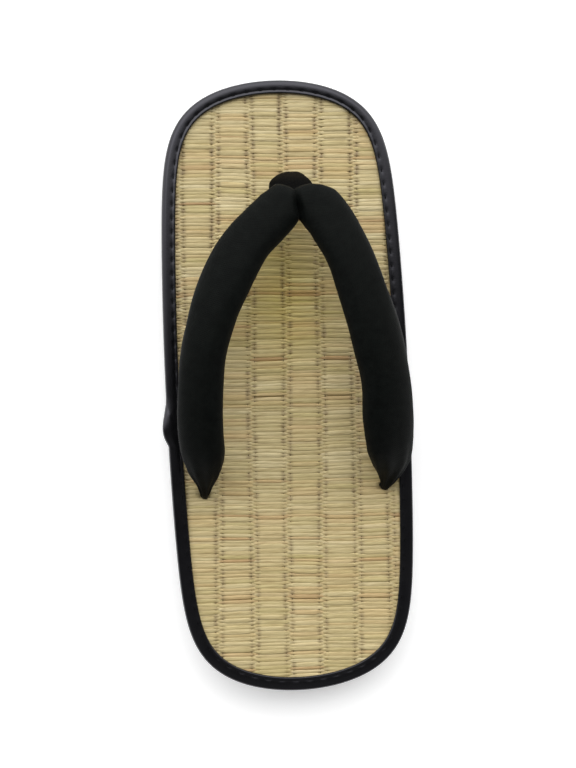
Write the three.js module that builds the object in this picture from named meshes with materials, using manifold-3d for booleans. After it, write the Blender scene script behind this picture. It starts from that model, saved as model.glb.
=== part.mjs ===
// Japanese thong sandal of the zori kind, one of a pair.
// A foam sole carries a rush mat footbed, and a sewn strip binds the mat's edge all round.
// A stuffed cloth strap forks from a toe post to a hole on each side, ahead of the heel.
// Millimetres. +Z is up, +Y points to the toe and +X to the wearer's right.
// The origin is in the middle of the sole's flat underside.

import * as THREE from "three";
import { mergeVertices } from "three/addons/utils/BufferGeometryUtils.js";
import Module from "manifold-3d";

// Outline, measured over the binding
const LENGTH = 265;
const WIDTH = 106.2;
const END_NARROWING = 0.1;
const END_SQUARENESS = 10;
const SIDE_STEPS = 48;

// Clearance between neighbouring pieces
const GAP = 0.3;

// Sole
const HEEL_THICKNESS = 17;
const TOE_THICKNESS = 13;
const SOLE_INSET = 1.6;
const SOLE_EDGE_ROUNDING = 1.8;

// Rush mat, with a sunk channel wherever a pair of warp threads ties the stems down
const MAT_THICKNESS = 4;
const MAT_INSET = 2.6;
const WARP_PITCH = 15.05;
const WARP_SHIFT = -0.6;
const WARP_PAIRS_EACH_SIDE = 3;
const CHANNEL_WIDTH = 3.4;
const CHANNEL_DEPTH = 0.5;
const WEAVE_SKEW_DEGREES = 2.1;
const SHEET_TRIM = 15;

// Edge binding: inset from the outline, rise over the sole's top face, and how far the lap
// of the strip's two ends pushes that corner out
const BINDING_SECTION = [
  { inset: 8.5, rise: -0.9, lap: 0 },
  { inset: 2.0, rise: -0.9, lap: 0.3 },
  { inset: 0.5, rise: -0.3, lap: 0.8 },
  { inset: 0.0, rise: 1.2, lap: 1 },
  { inset: 0.0, rise: 2.9, lap: 1 },
  { inset: 0.1, rise: 4.6, lap: 1 },
  { inset: 0.7, rise: 5.5, lap: 0.9 },
  { inset: 1.7, rise: 5.78, lap: 0.7 },
  { inset: 3.5, rise: 5.76, lap: 0.5 },
  { inset: 4.7, rise: 5.6, lap: 0.3 },
  { inset: 5.15, rise: 5.68, lap: 0.2 },
  { inset: 5.8, rise: 5.7, lap: 0.1 },
  { inset: 6.2, rise: 4.65, lap: 0 },
  { inset: 2.3, rise: 4.6, lap: 0 },
  { inset: 1.2, rise: 3.7, lap: 0 },
  { inset: 1.0, rise: 1.0, lap: 0 },
  { inset: 1.8, rise: 0.0, lap: 0 },
  { inset: 8.5, rise: 0.0, lap: 0 },
];
const BINDING_LEG_INSET = 8.5;
const BINDING_LEG_DEPTH = 0.9;
const LAP_FROM = -24.5;
const LAP_TO = -3;
const LAP_SWELL = 2.1;
const LAP_LEAN = 1.7;

// Strap arms, from the toe end back to the tails in their holes. left and right are the places
// of the two arms across the sandal, lift is the height over the mat, and tilt how far an
// arm's outer edge hangs below its inner one
const ARM_SECTIONS = [
  { y: 81.8, left: 0.9, leftWide: 10.2, right: 8.0, rightWide: 10.2, lift: 22.6, thick: 7.0, tilt: 2 },
  { y: 80.4, left: 0.4, leftWide: 12.2, right: 8.4, rightWide: 12.2, lift: 23.0, thick: 10.4, tilt: 3 },
  { y: 77.4, left: -0.6, leftWide: 16.0, right: 10.0, rightWide: 16.4, lift: 24.0, thick: 12.6, tilt: 6 },
  { y: 73.2, left: -2.8, leftWide: 19.4, right: 14.4, rightWide: 20.0, lift: 25.4, thick: 13.2, tilt: 9 },
  { y: 66.5, left: -9.2, leftWide: 19.9, right: 18.9, rightWide: 20.2, lift: 27.3, thick: 13.5, tilt: 12 },
  { y: 60.0, left: -15.6, leftWide: 20.2, right: 22.2, rightWide: 20.2, lift: 28.9, thick: 13.5, tilt: 15 },
  { y: 52.0, left: -21.5, leftWide: 21.3, right: 25.6, rightWide: 20.4, lift: 30.1, thick: 13.5, tilt: 17 },
  { y: 43.0, left: -26.5, leftWide: 21.5, right: 28.5, rightWide: 21.0, lift: 30.8, thick: 13.5, tilt: 18 },
  { y: 30.0, left: -32.3, leftWide: 20.3, right: 32.4, rightWide: 22.4, lift: 31.0, thick: 13.5, tilt: 20 },
  { y: 15.0, left: -36.8, leftWide: 19.2, right: 36.1, rightWide: 23.4, lift: 30.0, thick: 13.5, tilt: 22 },
  { y: 0.0, left: -38.8, leftWide: 19.2, right: 38.5, rightWide: 22.4, lift: 27.8, thick: 13.5, tilt: 24 },
  { y: -15.0, left: -39.3, leftWide: 19.4, right: 39.4, rightWide: 23.4, lift: 24.0, thick: 13.2, tilt: 25 },
  { y: -26.5, left: -38.9, leftWide: 18.4, right: 40.5, rightWide: 21.6, lift: 18.6, thick: 12.4, tilt: 25 },
  { y: -34.5, left: -38.2, leftWide: 14.0, right: 41.8, rightWide: 17.0, lift: 12.4, thick: 10.0, tilt: 22 },
  { y: -41.0, left: -38.0, leftWide: 6.6, right: 41.2, rightWide: 9.4, lift: 6.2, thick: 6.6, tilt: 14 },
  { y: -45.4, left: -38.3, leftWide: 3.6, right: 40.2, rightWide: 4.2, lift: 1.2, thick: 4.4, tilt: 6 },
  { y: -46.6, left: -38.3, leftWide: 3.6, right: 40.0, rightWide: 3.8, lift: -6.5, thick: 4.0, tilt: 0 },
];
const ARM_STEPS_PER_ROW = 2;
const ARM_EASING = 2;
const ARM_SQUARENESS = 2.3;

// Toe post, from the fork of the strap down to the front hole
const POST_SECTIONS = [
  { y: 79.0, lean: 3.8, lift: 21.5, wide: 15.0, deep: 6.4 },
  { y: 83.6, lean: 3.7, lift: 16.8, wide: 18.6, deep: 6.2 },
  { y: 86.8, lean: 4.4, lift: 10.6, wide: 14.4, deep: 5.8 },
  { y: 88.9, lean: 5.4, lift: 4.6, wide: 9.8, deep: 5.4 },
  { y: 89.6, lean: 6.0, lift: 0.0, wide: 7.8, deep: 5.0 },
  { y: 89.7, lean: 6.0, lift: -6.5, wide: 7.2, deep: 4.8 },
];
const POST_STEPS_PER_ROW = 2;
const POST_SQUARENESS = 3.4;

// Points round an oval section of the strap or post
const OVAL_POINTS = 14;

// Colours
const FOAM_BLACK = 0x1b1b1c;
const RUSH_STRAW = 0xbba980;
const VINYL_BLACK = 0x222224;
const COTTON_BLACK = 0x161817;

const { degToRad, lerp } = THREE.MathUtils;
const wasm = await Module();
wasm.setup();

// Half the sandal's width at a place along it: an oval with nearly straight sides
function halfWidth(y) {
  const along = Math.min(1, Math.abs(y) / (LENGTH / 2));
  return (WIDTH / 2) * (1 - END_NARROWING * along ** 2) * Math.sqrt(1 - along ** END_SQUARENESS);
}

// Top face of the sole, which thins evenly from heel to toe
function seatHeight(y) {
  return lerp(HEEL_THICKNESS, TOE_THICKNESS, y / LENGTH + 0.5);
}

function matHeight(y) {
  return seatHeight(y) + GAP + MAT_THICKNESS;
}

// Places up one side from heel tip to toe tip, with closer steps where the binding laps
function sidePlaces() {
  const places = [];
  for (let step = 0; step <= SIDE_STEPS; step += 1) {
    places.push((LENGTH / 2) * Math.sin(Math.PI * (step / SIDE_STEPS - 0.5)));
  }
  const lapMiddle = (LAP_FROM + LAP_TO) / 2;
  places.push(LAP_FROM, LAP_TO, lapMiddle);
  return places.sort((a, b) => a - b);
}

// Outline with its outward directions, counter-clockwise from the heel tip, so that point k
// on the right has its mirror image at the same distance from the list's end
function outlinePoints() {
  const places = sidePlaces();
  const right = places.map((y) => new THREE.Vector2(halfWidth(y), y));
  const left = places.slice(1, -1).reverse().map((y) => new THREE.Vector2(-halfWidth(y), y));
  const points = [...right, ...left];
  return points.map((point, k) => {
    const before = points[(k + points.length - 1) % points.length];
    const after = points[(k + 1) % points.length];
    const along = after.clone().sub(before).normalize();
    return { point, outward: new THREE.Vector2(along.y, -along.x) };
  });
}

const OUTLINE = outlinePoints();

// One closed ring along the outline
function outlineRing(inset, heightAt) {
  return OUTLINE.map(({ point, outward }) => {
    const x = point.x - inset * outward.x;
    const y = point.y - inset * outward.y;
    return new THREE.Vector3(x, y, heightAt(y));
  });
}

// Faces between neighbouring rings, the last ring joined to the first where the rings close
function wallFaces(ringCount, ringSize, closed) {
  const faces = [];
  const spans = closed ? ringCount : ringCount - 1;
  for (let span = 0; span < spans; span += 1) {
    const here = span * ringSize;
    const next = ((span + 1) % ringCount) * ringSize;
    for (let k = 0; k < ringSize; k += 1) {
      const beside = (k + 1) % ringSize;
      faces.push([here + k, here + beside, next + beside], [here + k, next + beside, next + k]);
    }
  }
  return faces;
}

// Solid from points and outward faces
function solid(points, faces) {
  const mesh = new wasm.Mesh({
    numProp: 3,
    vertProperties: new Float32Array(points.flatMap((point) => point.toArray())),
    triVerts: new Uint32Array(faces.flat()),
  });
  return new wasm.Manifold(mesh);
}

// Plate with the sandal's outline, from rings listed upwards. Each end is closed by strips
// from one side to the other, so that it bends only along the sandal
function plate(rings) {
  const size = rings[0].length;
  const faces = wallFaces(rings.length, size, false);
  const top = (rings.length - 1) * size;
  for (let k = 0; k < size / 2; k += 1) {
    const right = [k, k + 1];
    const left = [(size - k) % size, size - k - 1];
    const strip = [
      [right[0], right[1], left[1]],
      [right[0], left[1], left[0]],
    ].filter((face) => new Set(face).size === 3);
    faces.push(...strip.map((face) => face.map((corner) => corner + top)));
    faces.push(...strip.map((face) => [...face].reverse()));
  }
  return solid(rings.flat(), faces);
}

// Points moved outwards from the faces round them
function grown(points, faces, distance) {
  const geometry = new THREE.BufferGeometry().setFromPoints(points).setIndex(faces.flat());
  geometry.computeVertexNormals();
  const outward = geometry.getAttribute("normal");
  return points.map((point, k) =>
    point.clone().addScaledVector(new THREE.Vector3().fromBufferAttribute(outward, k), distance));
}

// Tube through oval sections, each with its middle, the way it faces, its broad direction and
// its size. grow makes the same form larger all round, to leave room for it in its neighbours
function tube(sections, squareness, grow) {
  const points = [];
  sections.forEach(({ middle, facing, broad, wide, thick }) => {
    const across = broad.clone().projectOnPlane(facing).normalize();
    const rise = new THREE.Vector3().crossVectors(facing, across);
    for (let corner = 0; corner < OVAL_POINTS; corner += 1) {
      const turn = (2 * Math.PI * corner) / OVAL_POINTS;
      const flat = Math.sign(Math.cos(turn)) * Math.abs(Math.cos(turn)) ** (2 / squareness);
      const high = Math.sign(Math.sin(turn)) * Math.abs(Math.sin(turn)) ** (2 / squareness);
      const point = middle.clone().addScaledVector(across, (flat * wide) / 2);
      points.push(point.addScaledVector(rise, (high * thick) / 2));
    }
  });
  const faces = wallFaces(sections.length, OVAL_POINTS, false);
  const lastRing = (sections.length - 1) * OVAL_POINTS;
  const firstMiddle = points.push(sections.at(0).middle) - 1;
  const lastMiddle = points.push(sections.at(-1).middle) - 1;
  for (let corner = 0; corner < OVAL_POINTS; corner += 1) {
    const beside = (corner + 1) % OVAL_POINTS;
    faces.push([beside, corner, firstMiddle]);
    faces.push([lastRing + corner, lastRing + beside, lastMiddle]);
  }
  return solid(grown(points, faces, grow), faces);
}

// Smooth run of points through a table's rows
function smoothRun(rows, stepsPerRow, toPoint) {
  const curve = new THREE.CatmullRomCurve3(rows.map(toPoint));
  return curve.getPoints((rows.length - 1) * stepsPerRow);
}

// Direction of a run of points at one of them, taken over a reach of points to each side
function directionAt(points, k, reach) {
  const before = points[Math.max(0, k - reach)];
  const after = points[Math.min(points.length - 1, k + reach)];
  return after.clone().sub(before).normalize();
}

// One arm of the strap, from its places and widths and the way that its outer edge faces
function strapArm({ place, width, side }, grow) {
  const middles = smoothRun(ARM_SECTIONS, ARM_STEPS_PER_ROW, (row) =>
    new THREE.Vector3(row[place], row.y, matHeight(row.y) + row.lift));
  const sizes = smoothRun(ARM_SECTIONS, ARM_STEPS_PER_ROW, (row) =>
    new THREE.Vector3(row[width], row.thick, degToRad(row.tilt)));
  const sections = middles.map((middle, k) => {
    const facing = directionAt(middles, k, ARM_EASING);
    const { x: wide, y: thick, z: tilt } = sizes[k];
    const outward = new THREE.Vector3(-facing.y, facing.x, 0).normalize();
    const broad = outward.multiplyScalar(side * Math.cos(tilt));
    broad.z = -Math.sin(tilt);
    return { middle, facing, broad, wide, thick };
  });
  return tube(sections, ARM_SQUARENESS, grow);
}

// Strap: both arms, grown into one where they meet at the toe
function strapForm(grow) {
  const left = strapArm({ place: "left", width: "leftWide", side: -1 }, grow);
  const right = strapArm({ place: "right", width: "rightWide", side: 1 }, grow);
  return left.add(right);
}

// Toe post, before the strap's fork is cut out of its head
function postForm(grow) {
  const middles = smoothRun(POST_SECTIONS, POST_STEPS_PER_ROW, ({ y, lean, lift }) =>
    new THREE.Vector3(lean, y, matHeight(y) + lift));
  const sizes = smoothRun(POST_SECTIONS, POST_STEPS_PER_ROW, ({ wide, deep }) =>
    new THREE.Vector3(wide, deep, 0));
  const sections = middles.map((middle, k) => {
    const facing = directionAt(middles, k, 1);
    const broad = new THREE.Vector3(1, 0, 0);
    return { middle, facing, broad, wide: sizes[k].x, thick: sizes[k].y };
  });
  return tube(sections, POST_SQUARENESS, grow);
}

// Sole: rounded lower edge, a step round its top for the binding's tucked leg, and pockets
// for the ends of the strap and the post
function soleSolid(pockets) {
  const step = (y) => seatHeight(y) - BINDING_LEG_DEPTH - GAP;
  const raisedInset = BINDING_LEG_INSET + GAP;
  const midRound = SOLE_EDGE_ROUNDING * (1 - Math.SQRT1_2);
  const body = plate([
    outlineRing(SOLE_INSET + SOLE_EDGE_ROUNDING, () => 0),
    outlineRing(SOLE_INSET + midRound, () => midRound),
    outlineRing(SOLE_INSET, () => SOLE_EDGE_ROUNDING),
    outlineRing(SOLE_INSET, step),
    outlineRing(raisedInset, step),
    outlineRing(raisedInset, seatHeight),
  ]);
  return body.subtract(pockets);
}

// Cross-section of the woven sheet, with a shallow channel along each pair of warp threads
function weaveSection() {
  const edge = WIDTH / 2 + SHEET_TRIM;
  const section = new THREE.Shape();
  section.moveTo(-edge, 0);
  section.lineTo(edge, 0);
  section.lineTo(edge, MAT_THICKNESS);
  for (let pair = WARP_PAIRS_EACH_SIDE; pair >= -WARP_PAIRS_EACH_SIDE; pair -= 1) {
    const middle = WARP_SHIFT + pair * WARP_PITCH;
    section.lineTo(middle + CHANNEL_WIDTH / 2, MAT_THICKNESS);
    section.lineTo(middle + CHANNEL_WIDTH / 4, MAT_THICKNESS - CHANNEL_DEPTH);
    section.lineTo(middle - CHANNEL_WIDTH / 4, MAT_THICKNESS - CHANNEL_DEPTH);
    section.lineTo(middle - CHANNEL_WIDTH / 2, MAT_THICKNESS);
  }
  section.lineTo(-edge, MAT_THICKNESS);
  return section;
}

// Woven sheet longer and wider than the sandal, laid over the sole's top face
function wovenSheet() {
  const sheetLength = LENGTH + 2 * SHEET_TRIM;
  const geometry = new THREE.ExtrudeGeometry(weaveSection(), {
    depth: sheetLength,
    bevelEnabled: false,
  });
  geometry.translate(0, 0, -sheetLength / 2);
  geometry.rotateX(Math.PI / 2);
  geometry.rotateZ(-degToRad(WEAVE_SKEW_DEGREES));
  geometry.deleteAttribute("normal");
  geometry.deleteAttribute("uv");
  const merged = mergeVertices(geometry);
  const place = merged.getAttribute("position");
  const points = [];
  for (let k = 0; k < place.count; k += 1) {
    const point = new THREE.Vector3().fromBufferAttribute(place, k);
    point.z += seatHeight(point.y) + GAP;
    points.push(point);
  }
  const corners = [...merged.getIndex().array];
  const faces = [];
  while (corners.length > 0) {
    faces.push(corners.splice(0, 3));
  }
  return solid(points, faces);
}

// Footbed: the woven sheet cut to the outline, with a hole for each strap end and the post
function footbedSolid(holes) {
  const above = HEEL_THICKNESS + GAP + MAT_THICKNESS;
  const cut = plate([outlineRing(MAT_INSET, () => 0), outlineRing(MAT_INSET, () => above)]);
  return wovenSheet().intersect(cut).subtract(holes);
}

// Binding: the strip's folded section carried round the outline, swollen at its lap, most
// towards the heel
function bindingSolid() {
  const rings = OUTLINE.map(({ point, outward }) => {
    const through = (point.y - LAP_FROM) / (LAP_TO - LAP_FROM);
    const lapped = point.x < 0 && through > 0 && through < 1;
    const swell = lapped ? LAP_SWELL * Math.sin(Math.PI * (1 - through) ** LAP_LEAN) : 0;
    return [...BINDING_SECTION].reverse().map(({ inset, rise, lap }) => {
      const x = point.x - (inset - lap * swell) * outward.x;
      const y = point.y - (inset - lap * swell) * outward.y;
      return new THREE.Vector3(x, y, seatHeight(y) + rise);
    });
  });
  return solid(rings.flat(), wallFaces(rings.length, BINDING_SECTION.length, true));
}

// Named mesh of one finished solid
function piece(name, form, material) {
  const { vertProperties, triVerts } = form.getMesh();
  const geometry = new THREE.BufferGeometry();
  geometry.setAttribute("position", new THREE.BufferAttribute(vertProperties, 3));
  geometry.setIndex(new THREE.BufferAttribute(triVerts, 1));
  geometry.computeVertexNormals();
  const mesh = new THREE.Mesh(geometry, new THREE.MeshStandardMaterial(material));
  mesh.name = name;
  return mesh;
}

const strapRoom = strapForm(GAP);
const sunkEnds = strapRoom.add(postForm(GAP));

const zori = new THREE.Group();
zori.name = "zori";
zori.add(piece("sole", soleSolid(sunkEnds), { color: FOAM_BLACK, roughness: 0.85, metalness: 0 }));
zori.add(piece("footbed", footbedSolid(sunkEnds), { color: RUSH_STRAW, roughness: 0.7, metalness: 0 }));
zori.add(piece("binding", bindingSolid(), { color: VINYL_BLACK, roughness: 0.45, metalness: 0 }));
zori.add(piece("strap", strapForm(0), { color: COTTON_BLACK, roughness: 0.95, metalness: 0 }));
const toePost = postForm(0).subtract(strapRoom);
zori.add(piece("toe_post", toePost, { color: COTTON_BLACK, roughness: 0.95, metalness: 0 }));

export default zori;
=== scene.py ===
"""Looks of a zori: a flat thong sandal with a rush mat footbed, a sewn edge and a stuffed cloth strap.

Metres, in the part's own frame: +Z is up, +Y points to the toe and +X to the wearer's right.
"""

import math
from collections import namedtuple

import bmesh
import bpy
import numpy as np
from mathutils import Matrix, Vector


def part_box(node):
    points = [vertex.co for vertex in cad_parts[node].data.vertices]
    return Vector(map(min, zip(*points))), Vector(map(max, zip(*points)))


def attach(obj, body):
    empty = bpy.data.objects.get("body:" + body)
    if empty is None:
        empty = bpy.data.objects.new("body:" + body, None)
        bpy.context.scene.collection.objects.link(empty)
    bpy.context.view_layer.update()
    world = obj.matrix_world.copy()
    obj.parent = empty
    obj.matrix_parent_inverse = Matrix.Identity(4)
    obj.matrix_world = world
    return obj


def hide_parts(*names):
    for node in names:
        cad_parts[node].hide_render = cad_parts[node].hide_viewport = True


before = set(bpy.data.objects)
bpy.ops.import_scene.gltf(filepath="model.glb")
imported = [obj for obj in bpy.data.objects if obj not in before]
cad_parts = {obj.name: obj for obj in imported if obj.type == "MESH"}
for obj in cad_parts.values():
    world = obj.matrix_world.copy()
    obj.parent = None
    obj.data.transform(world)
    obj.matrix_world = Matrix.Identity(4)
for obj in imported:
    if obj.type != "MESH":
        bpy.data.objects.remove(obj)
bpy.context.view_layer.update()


# Sole
# A sheet of black foam cut to the sandal's outline, which thins evenly from heel to toe.
# Its lower edge is rounded over, and shallow wavy grooves are pressed across its underside.
# A step round its top takes in the binding's lower leg, and the mat is glued on above.

MM = 0.001
SOLE_INSET = 1.6 * MM
SOLE_ROUNDING = 1.8 * MM
ROUNDING_PLACES = 6
SIDE_RING_DROP = 4 * MM
STEP_DEPTH = 1.2 * MM
STEP_INSET = 8.8 * MM
HEEL_THICKNESS = 17 * MM
TOE_THICKNESS = 13 * MM
END_NARROWING = 0.1
END_SQUARENESS = 10
OUTLINE_PLACES = 4001
WELD_REACH = 0.001 * MM
GAP = 0.3 * MM

sole_low, sole_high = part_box("sole")
LENGTH = sole_high.y - sole_low.y + 2 * SOLE_INSET
WIDTH = sole_high.x - sole_low.x + 2 * SOLE_INSET

TREAD_PITCH = 7 * MM
TREAD_GROOVE = 2.4 * MM
TREAD_FLOOR = 0.96 * MM
TREAD_DEPTH = 0.9 * MM
TREAD_SWAY = 2.2 * MM
TREAD_WAVE = 34 * MM
TREAD_BORDER = 9 * MM
TREAD_FADE = 2 * MM


def smooth_step(start, end, value):
    """Rises from 0 at start to 1 at end, with no corner at either."""
    share = np.clip((value - start) / (end - start), 0, 1)
    return share * share * (3 - 2 * share)


def half_width(y):
    """Half the sandal's width at a place along it: an oval with nearly straight sides."""
    along = np.minimum(1, np.abs(y) / (LENGTH / 2))
    return WIDTH / 2 * (1 - END_NARROWING * along**2) * np.sqrt(1 - along**END_SQUARENESS)


def seat_height(y):
    """Top face of the sole, which thins evenly from heel to toe."""
    return HEEL_THICKNESS + (TOE_THICKNESS - HEEL_THICKNESS) * (y / LENGTH + 0.5)


def unit(vectors):
    """Vectors of length 1 that point the same ways."""
    return vectors / np.linalg.norm(vectors, axis=-1, keepdims=True)


def walked_along(points):
    """How far along a line each of its points lies."""
    return np.cumsum(np.linalg.norm(np.diff(points, axis=0, prepend=points[:1]), axis=1))


def outline(places_a_side):
    """Points round the edge, counter-clockwise from the heel tip, and the outward way at each."""
    fine = LENGTH / 2 * np.sin(np.linspace(-math.pi / 2, math.pi / 2, OUTLINE_PLACES))
    walked = walked_along(np.column_stack([half_width(fine), fine]))
    y = np.interp(np.linspace(0, walked[-1], places_a_side), walked, fine)
    right = np.column_stack([half_width(y), y])
    points = np.vstack([right, (right[1:-1] * [-1, 1])[::-1]])
    along = unit(np.roll(points, -1, axis=0) - np.roll(points, 1, axis=0))
    return points, np.column_stack([along[:, 1], -along[:, 0]])


def edge_ring(edge, inset, height_at):
    """One closed ring that follows the edge."""
    points, outward = edge
    flat = points - inset * outward
    return np.column_stack([flat, height_at(flat[:, 1])])


def rows_across(ring, columns):
    """Rows of points over a ring, each from its right side to its left."""
    rows = len(ring) // 2 + 1
    right = ring[:rows]
    left = np.vstack([ring[:1], ring[: rows - 1 : -1], ring[rows - 1 : rows]])
    share = np.linspace(0, 1, columns + 1)[None, :, None]
    return right[:, None] * (1 - share) + left[:, None] * share


class Shape:
    """Points and faces of one mesh, gathered from grids of points, with values to paint it by."""

    def __init__(self):
        self.points = []
        self.faces = []
        self.values = {}
        self.size = 0

    def add(self, grid, closed_rows=False, closed_columns=False, capped=False, **values):
        """Takes in one grid: faces between its points, end caps if wanted, and values to paint by."""
        rows, columns = grid.shape[:2]
        row, column = np.meshgrid(
            np.arange(rows if closed_rows else rows - 1),
            np.arange(columns if closed_columns else columns - 1),
            indexing="ij",
        )
        next_row = (row + 1) % rows
        next_column = (column + 1) % columns
        corners = [
            row * columns + column,
            row * columns + next_column,
            next_row * columns + next_column,
            next_row * columns + column,
        ]
        self.faces += (np.stack(corners, axis=-1).reshape(-1, 4) + self.size).tolist()
        if capped:
            first = self.size + np.arange(columns)
            last = first + (rows - 1) * columns
            self.faces += [first[::-1].tolist(), last.tolist()]
        for name, value in values.items():
            spread = np.broadcast_to(value, (rows, columns)).ravel()
            self.values.setdefault(name, []).append(spread)
        self.points.append(grid.reshape(-1, 3))
        self.size += rows * columns

    def piece(self, name, finish, welded=False):
        """A smooth object of the gathered grids, with points that coincide welded into one."""
        mesh = bpy.data.meshes.new(name)
        mesh.from_pydata(np.vstack(self.points).tolist(), [], self.faces)
        for value_name, parts in self.values.items():
            attribute = mesh.attributes.new(value_name, "FLOAT", "POINT")
            attribute.data.foreach_set("value", np.concatenate(parts).astype(np.float32))
        if welded:
            weld = bmesh.new()
            weld.from_mesh(mesh)
            bmesh.ops.remove_doubles(weld, verts=weld.verts, dist=WELD_REACH)
            weld.to_mesh(mesh)
            weld.free()
        mesh.shade_smooth()
        mesh.materials.append(finish)
        made = bpy.data.objects.new(name, mesh)
        bpy.context.scene.collection.objects.link(made)
        return made


def colour(red, green, blue):
    """Linear colour of one given in everyday steps from 0 to 255."""
    steps = [step / 255 for step in (red, green, blue)]
    return [s / 12.92 if s <= 0.04045 else ((s + 0.055) / 1.055) ** 2.4 for s in steps] + [1]


def add_node(tree, kind, inputs=None, **settings):
    """A node with its settings, each input set to a value or linked to another node's output."""
    node = tree.nodes.new("ShaderNode" + kind)
    for name, value in settings.items():
        setattr(node, name, value)
    for key, value in (inputs or {}).items():
        if isinstance(value, bpy.types.NodeSocket):
            tree.links.new(value, node.inputs[key])
        else:
            node.inputs[key].default_value = value
    return node


def mixed_colour(tree, share, one, other, how="MIX"):
    """Output of a node that mixes two colours."""
    node = add_node(tree, "Mix", {0: share, 6: one, 7: other}, data_type="RGBA", blend_type=how)
    return node.outputs[2]


def ramp(tree, share, stops):
    """Output of a colour ramp through stops of place and colour."""
    node = add_node(tree, "ValToRGB", {"Fac": share})
    elements = node.color_ramp.elements
    while len(elements) < len(stops):
        elements.new(0.5)
    for element, (place, shade) in zip(elements, stops):
        element.position = place
        element.color = shade
    return node.outputs["Color"]


def new_finish(name, **sockets):
    """A material, its node tree and its shader, with the shader's plain sockets set."""
    material = bpy.data.materials.new(name)
    material.use_nodes = True
    shader = material.node_tree.nodes["Principled BSDF"]
    for socket, value in sockets.items():
        shader.inputs[socket.replace("_", " ")].default_value = value
    return material, material.node_tree, shader


def new_group(name, inputs, outputs):
    """A shader node group, with the sockets that it takes in and those that it gives."""
    group = bpy.data.node_groups.new(name, "ShaderNodeTree")
    for socket, value in inputs.items():
        made = group.interface.new_socket(socket, in_out="INPUT", socket_type="NodeSocketFloat")
        made.default_value = value
    for socket in outputs:
        group.interface.new_socket(socket, in_out="OUTPUT", socket_type="NodeSocketFloat")
    return group, group.nodes.new("NodeGroupInput"), group.nodes.new("NodeGroupOutput")


# Fine pressed grain, which the foam, the mat's backing and the vinyl share at different scales
grain_group, grain_in, grain_out = new_group(
    "pressed grain", {"Cells per metre": 900, "Patches per metre": 40}, ["Height", "Patches"]
)
grain_place = add_node(grain_group, "TexCoord").outputs["Object"]
grain_cells = add_node(
    grain_group,
    "TexVoronoi",
    {"Vector": grain_place, "Scale": grain_in.outputs["Cells per metre"]},
    feature="SMOOTH_F1",
)
grain_patches = add_node(
    grain_group,
    "TexNoise",
    {"Vector": grain_place, "Scale": grain_in.outputs["Patches per metre"], "Detail": 4},
)
grain_group.links.new(grain_cells.outputs["Distance"], grain_out.inputs["Height"])
grain_group.links.new(grain_patches.outputs["Fac"], grain_out.inputs["Patches"])


def placed_group(tree, group, **values):
    """A group placed in a material with its own values."""
    node = add_node(tree, "Group", node_tree=group)
    for socket, value in values.items():
        node.inputs[socket.replace("_", " ")].default_value = value
    return node


FOAM_BLACK = colour(24, 24, 26)
FOAM_GREY = colour(38, 38, 40)
foam, foam_tree, foam_shader = new_finish("black foam", Specular_IOR_Level=0.35)
foam_grain = placed_group(foam_tree, grain_group, Cells_per_metre=1100, Patches_per_metre=55)
foam_shade = ramp(foam_tree, foam_grain.outputs["Patches"], [(0.35, FOAM_BLACK), (0.7, FOAM_GREY)])
foam_rough = add_node(
    foam_tree,
    "MapRange",
    {"Value": foam_grain.outputs["Patches"], "To Min": 0.72, "To Max": 0.9},
)
foam_bump = add_node(
    foam_tree,
    "Bump",
    {"Height": foam_grain.outputs["Height"], "Strength": 0.5, "Distance": 0.25 * MM},
)
foam_tree.links.new(foam_shade, foam_shader.inputs["Base Color"])
foam_tree.links.new(foam_rough.outputs["Result"], foam_shader.inputs["Roughness"])
foam_tree.links.new(foam_bump.outputs["Normal"], foam_shader.inputs["Normal"])


def tread_groove(x, y):
    """How far the underside is pressed in: wavy grooves that fade out ahead of a plain border."""
    wave = y + TREAD_SWAY * np.cos(2 * math.pi * x / TREAD_WAVE)
    from_groove = np.abs((wave / TREAD_PITCH) % 1 - 0.5) * TREAD_PITCH
    from_edge = np.minimum(half_width(y) - np.abs(x), LENGTH / 2 - np.abs(y))
    inside = smooth_step(TREAD_BORDER, TREAD_BORDER + TREAD_FADE, from_edge)
    return TREAD_DEPTH * inside * smooth_step(TREAD_GROOVE / 2, TREAD_FLOOR / 2, from_groove)


sole_edge = outline(places_a_side=520)
sole_rings = []
for turn in np.linspace(0, math.pi / 2, ROUNDING_PLACES):
    drawn_in = SOLE_ROUNDING * (1 - math.sin(turn))
    raised = SOLE_ROUNDING * (1 - math.cos(turn))
    sole_rings.append(edge_ring(sole_edge, SOLE_INSET + drawn_in, lambda y: 0 * y + raised))
for inset, drop in [
    (SOLE_INSET, SIDE_RING_DROP),
    (SOLE_INSET, STEP_DEPTH),
    (STEP_INSET, STEP_DEPTH),
    (STEP_INSET, 0),
]:
    sole_rings.append(edge_ring(sole_edge, inset, lambda y: seat_height(y) - drop))

underside = rows_across(sole_rings[0], columns=48)
underside[..., 2] += tread_groove(underside[..., 0], underside[..., 1])
top_side = rows_across(sole_rings[-1], columns=8)[:, ::-1]

sole_shape = Shape()
sole_shape.add(np.stack(sole_rings), closed_columns=True)
sole_shape.add(underside)
sole_shape.add(top_side)
sole = sole_shape.piece("foam_sole", foam, welded=True)
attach(sole, "root")
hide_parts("sole")


# Footbed
# A mat of dry rush on a thin pressed backing. Each stem floats over one rib, dives between two warp
# threads and runs under the next rib, and its neighbours do the opposite. The backing is glued down.

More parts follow.
